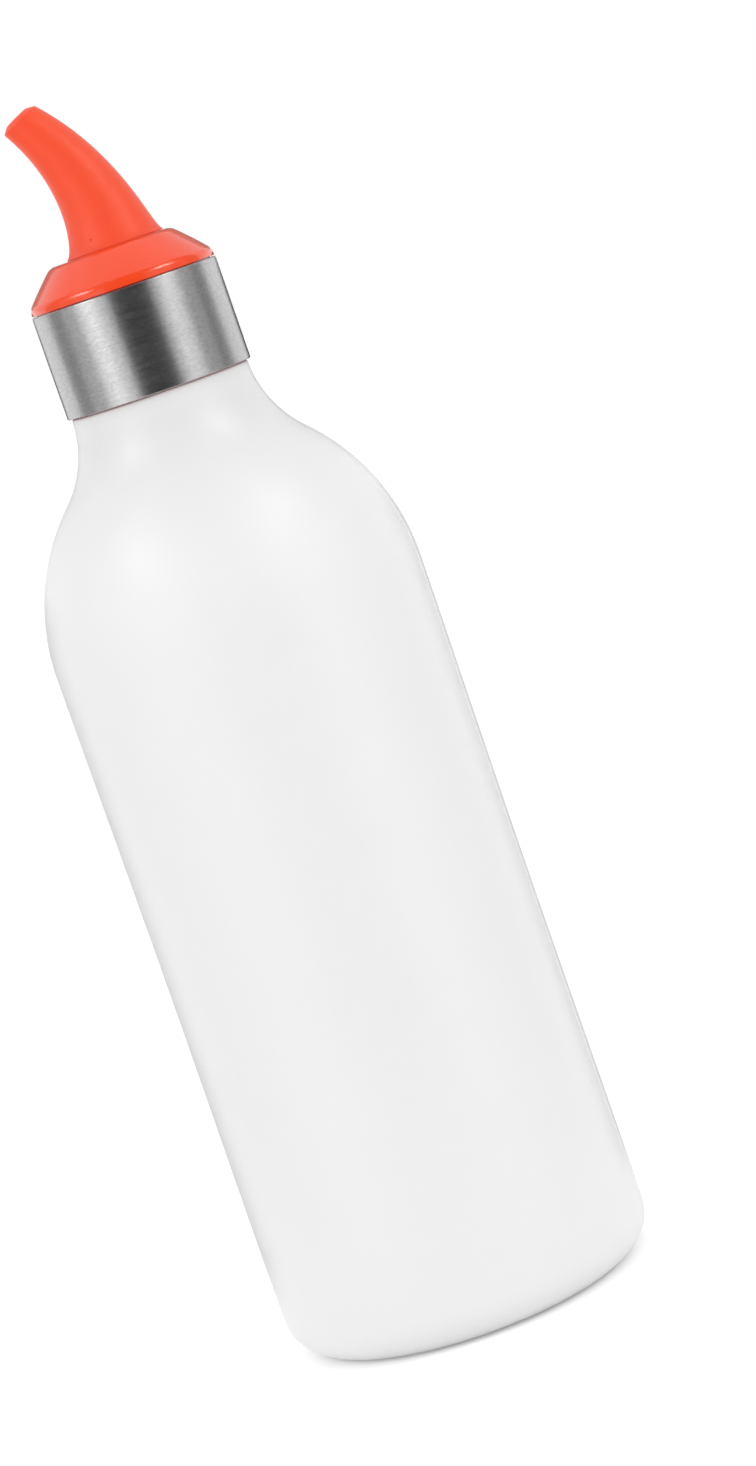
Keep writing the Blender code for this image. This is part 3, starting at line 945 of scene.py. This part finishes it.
def soft_silicone(finishes):
    finish = Finish("soft_silicone", finishes.seal)
    finish.settings(subsurface_weight=0.3, subsurface_scale=0.001)
    finish.clouded(300, dark=0.94)
    finish.rough(finish.grain(900, detail=2), finishes.seal_roughness, below=0.05, above=0.05)
    finish.bump(finish.grain(2500, detail=2), distance=0.00002, strength=0.2)
    return finish.material


def dress(piece, material):
    piece.data.materials.clear()
    piece.data.materials.append(material)


# Stage


def seen_directly(nodes, links):
    """1 for rays that show a thing to the camera, straight, mirrored or through it, else 0."""
    path = nodes.new("ShaderNodeLightPath")
    seen = path.outputs["Is Camera Ray"]
    for kind in ("Is Glossy Ray", "Is Transmission Ray"):
        total = nodes.new("ShaderNodeMath")
        total.operation = "ADD"
        total.use_clamp = True
        links.new(seen, total.inputs[0])
        links.new(path.outputs[kind], total.inputs[1])
        seen = total.outputs["Value"]
    return seen


def light_world(stage):
    """An even light from all round, that looks white itself."""
    world = bpy.data.worlds.new("studio_white")
    bpy.context.scene.world = world
    world.use_nodes = True
    nodes = world.node_tree.nodes
    links = world.node_tree.links
    strength = nodes.new("ShaderNodeMapRange")
    strength.inputs["To Min"].default_value = stage.fill
    strength.inputs["To Max"].default_value = 1
    links.new(seen_directly(nodes, links), strength.inputs["Value"])
    background = nodes["Background"]
    background.inputs["Color"].default_value = (1, 1, 1, 1)
    links.new(strength.outputs["Result"], background.inputs["Strength"])


def matt_material(name, colour):
    """A matt material that can give off white light, and its shader."""
    material = bpy.data.materials.new(name)
    material.use_nodes = True
    shader = material.node_tree.nodes["Principled BSDF"]
    shader.inputs["Base Color"].default_value = (*colour, 1)
    shader.inputs["Roughness"].default_value = 1
    shader.inputs["Specular IOR Level"].default_value = 0
    shader.inputs["Emission Color"].default_value = (1, 1, 1, 1)
    return material, shader


def floor_material(stage):
    """Pale and matt, lifted to white where it is seen directly."""
    material, shader = matt_material("studio_floor", stage.floor)
    nodes = material.node_tree.nodes
    links = material.node_tree.links
    lift = nodes.new("ShaderNodeMath")
    lift.operation = "MULTIPLY"
    lift.inputs[1].default_value = FLOOR_LIFT
    links.new(seen_directly(nodes, links), lift.inputs[0])
    links.new(lift.outputs["Value"], shader.inputs["Emission Strength"])
    return material


def make_floor(stage):
    bpy.ops.object.select_all(action="DESELECT")
    bpy.ops.mesh.primitive_circle_add(
        vertices=FLOOR_SIDES, radius=stage.floor_radius, fill_type="NGON",
    )
    floor = open_for_editing("studio_floor")
    bpy.ops.mesh.inset(thickness=stage.floor_radius / 2)
    bpy.ops.object.mode_set(mode="OBJECT")
    dress(floor, floor_material(stage))


def card_material(name, level):
    material, shader = matt_material(name, (0, 0, 0))
    shader.inputs["Emission Strength"].default_value = level
    return material


# Name, start and end in degrees from the camera's side, radius, foot, top and brightness
CARDS = (
    ("front_card", -24, 31, 0.16, 0, 1.1, 0.03),
    ("left_pale_card", -80, -60, 0.16, 0, 0.42, 0.6),
    ("left_grey_card", -112, -80, 0.16, 0, 0.42, 0.35),
    ("left_side_card", -175, -114, 0.075, 0, 0.14, 0.12),
    ("left_edge_card", -172, -147, 0.076, 0, 0.1825, 0),
    ("left_bright_card", -69, -46, 0.157, 0.247, 0.317, 6),
    ("left_upper_card", -60, -24, 0.16, 0.22, 0.9, 0.15),
    ("left_cap_card", -148, -116, 0.16, 0.2, 0.42, 0.85),
    ("left_rim_card", -178, -148, 0.16, 0.2, 0.42, 0.25),
    ("right_near_card", 31, 59, 0.16, 0, 0.22, 0.82),
    ("right_pale_card", 59, 80, 0.16, 0, 0.42, 0.45),
    ("right_grey_card", 80, 108, 0.16, 0, 0.42, 0.28),
    ("right_side_card", 114, 175, 0.075, 0, 0.14, 0.12),
    ("right_edge_card", 142, 172, 0.076, 0, 0.1825, 0),
    ("right_bright_card", 47, 70, 0.157, 0.249, 0.319, 6),
    ("right_upper_card", 32, 60, 0.16, 0.22, 0.9, 0.15),
    ("right_cap_card", 122, 148, 0.16, 0.2, 0.42, 0.8),
    ("right_rim_card", 148, 178, 0.16, 0.2, 0.42, 0.25),
)


def make_card(name, start, end, radius, foot, top, level):
    """A curved card between two turns from the camera, that shows only in shiny surfaces."""
    card = open_circle(name, radius, foot, CARD_SIDES)
    shape = bmesh.from_edit_mesh(card.data)
    for vert in shape.verts:
        turn = math.degrees(math.atan2(vert.co.x, -vert.co.y))
        vert.select_set(not start <= turn <= end)
    shape.select_flush(False)
    bmesh.update_edit_mesh(card.data)
    bpy.ops.mesh.select_mode(type="VERT")
    bpy.ops.mesh.delete(type="VERT")
    bpy.ops.mesh.select_all(action="SELECT")
    bpy.ops.mesh.extrude_region_move(TRANSFORM_OT_translate={"value": (0, 0, top - foot)})
    bpy.ops.object.mode_set(mode="OBJECT")
    dress(card, card_material(name, level))
    card.visible_camera = card.visible_diffuse = False
    card.visible_transmission = card.visible_shadow = False


def make_soft_box(name, power, turn, stage):
    """A soft box that looks at the cap from one side of the camera."""
    lift = stage.lamp_lift
    level = Vector((math.sin(turn), -math.cos(turn), 0))
    towards = level * math.cos(lift) + Vector((0, 0, math.sin(lift)))
    bpy.ops.object.light_add(type="AREA", location=LAMP_TARGET + towards * stage.lamp_distance)
    lamp = bpy.context.object
    lamp.name = name
    lamp.rotation_euler = towards.to_track_quat("Z", "Y").to_euler()
    lamp.data.shape = "RECTANGLE"
    lamp.data.size = stage.lamp_width
    lamp.data.size_y = stage.lamp_height
    lamp.data.energy = power
    lamp.visible_camera = False


def make_camera(stage):
    """The photograph's viewpoint, rolled so that the bottle leans to the left."""
    aimed = (CAMERA_AIM - CAMERA_PLACE).to_track_quat("-Z", "Y").to_matrix()
    turn = aimed @ Matrix.Rotation(CAMERA_ROLL, 3, "Z")
    bpy.ops.object.camera_add(location=CAMERA_PLACE, rotation=turn.to_euler())
    camera = bpy.context.object
    camera.name = "studio_camera"
    camera.data.lens = stage.lens
    camera.data.sensor_width = CAMERA_SENSOR
    camera.data.clip_start, camera.data.clip_end = CAMERA_CLIP
    bpy.context.scene.camera = camera


# Operators


class PieceOperator:
    bl_options = {"REGISTER", "UNDO"}


class MakeStage(PieceOperator, bpy.types.Operator):
    """Makes the floor, the light and the camera"""

    bl_idname = "scene.squeeze_bottle_stage"
    bl_label = "Stage"

    def execute(self, context):
        stage = context.scene.squeeze_bottle.stage
        context.scene.view_settings.view_transform = "Standard"
        light_world(stage)
        make_floor(stage)
        for card in CARDS:
            make_card(*card)
        make_soft_box("left_soft_box", stage.left_lamp, -stage.lamp_turn, stage)
        make_soft_box("right_soft_box", stage.right_lamp, stage.lamp_turn, stage)
        make_camera(stage)
        return {"FINISHED"}


class MakeBottle(PieceOperator, bpy.types.Operator):
    """Makes the frosted bottle with its threaded neck"""

    bl_idname = "mesh.squeeze_bottle_shell"
    bl_label = "Bottle"

    def execute(self, context):
        sizes = context.scene.squeeze_bottle
        shell = make_bottle_shell(sizes)
        dress(shell, frosted_plastic(sizes.finishes))
        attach(shell, "bottle")
        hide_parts("bottle_body")
        return {"FINISHED"}


class MakeCap(PieceOperator, bpy.types.Operator):
    """Makes the glossy screw cap"""

    bl_idname = "mesh.squeeze_bottle_cap"
    bl_label = "Cap"

    def execute(self, context):
        sizes = context.scene.squeeze_bottle
        cap = make_cap(sizes)
        dress(cap, glossy_plastic(sizes.finishes))
        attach(cap, "cap")
        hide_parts("cap_shell")
        return {"FINISHED"}


class MakeBand(PieceOperator, bpy.types.Operator):
    """Makes the brushed steel band round the cap's skirt"""

    bl_idname = "mesh.squeeze_bottle_band"
    bl_label = "Steel Band"

    def execute(self, context):
        sizes = context.scene.squeeze_bottle
        band = make_band(sizes)
        dress(band, brushed_steel(sizes.finishes))
        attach(band, "cap")
        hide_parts("steel_band")
        return {"FINISHED"}


class MakeSpout(PieceOperator, bpy.types.Operator):
    """Makes the soft curved spout"""

    bl_idname = "mesh.squeeze_bottle_spout"
    bl_label = "Spout"

    def execute(self, context):
        sizes = context.scene.squeeze_bottle
        horn = make_horn(sizes)
        dress(horn, soft_plastic(sizes.finishes))
        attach(horn, "spout")
        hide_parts("spout")
        return {"FINISHED"}


class DressSeal(PieceOperator, bpy.types.Operator):
    """Gives the sealing ring its silicone"""

    bl_idname = "object.squeeze_bottle_seal"
    bl_label = "Sealing Ring"

    def execute(self, context):
        dress(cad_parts["sealing_ring"], soft_silicone(context.scene.squeeze_bottle.finishes))
        return {"FINISHED"}


class SqueezeBottlePanel(bpy.types.Panel):
    """Lists the pieces, their sizes and their colours"""

    bl_idname = "VIEW3D_PT_squeeze_bottle"
    bl_label = "Squeeze Bottle"
    bl_space_type = "VIEW_3D"
    bl_region_type = "UI"
    bl_category = "Squeeze Bottle"

    def draw(self, context):
        sizes = context.scene.squeeze_bottle
        for operator, groups in (
            (MakeStage, (sizes.stage,)),
            (MakeBottle, (sizes.bottle, sizes.neck, sizes.thread)),
            (MakeCap, (sizes.cap,)),
            (MakeBand, (sizes.band,)),
            (MakeSpout, (sizes.spout,)),
            (DressSeal, (sizes.finishes,)),
        ):
            box = self.layout.box()
            box.operator(operator.bl_idname)
            for group in groups:
                for key in group.__annotations__:
                    box.prop(group, key)


CLASSES = (
    BottleSizes, NeckSizes, ThreadSizes, CapSizes, BandSizes, SpoutSizes, Finishes, StageSettings,
    SqueezeBottle, MakeStage, MakeBottle, MakeCap, MakeBand, MakeSpout, DressSeal,
    SqueezeBottlePanel,
)


def register():
    for made in CLASSES:
        bpy.utils.register_class(made)
    bpy.types.Scene.squeeze_bottle = PointerProperty(type=SqueezeBottle)


def unregister():
    del bpy.types.Scene.squeeze_bottle
    for made in reversed(CLASSES):
        bpy.utils.unregister_class(made)


def main():
    register()
    bpy.ops.scene.squeeze_bottle_stage()
    bpy.ops.mesh.squeeze_bottle_shell()
    bpy.ops.mesh.squeeze_bottle_cap()
    bpy.ops.mesh.squeeze_bottle_band()
    bpy.ops.mesh.squeeze_bottle_spout()
    bpy.ops.object.squeeze_bottle_seal()


if __name__ == "__main__":
    main()
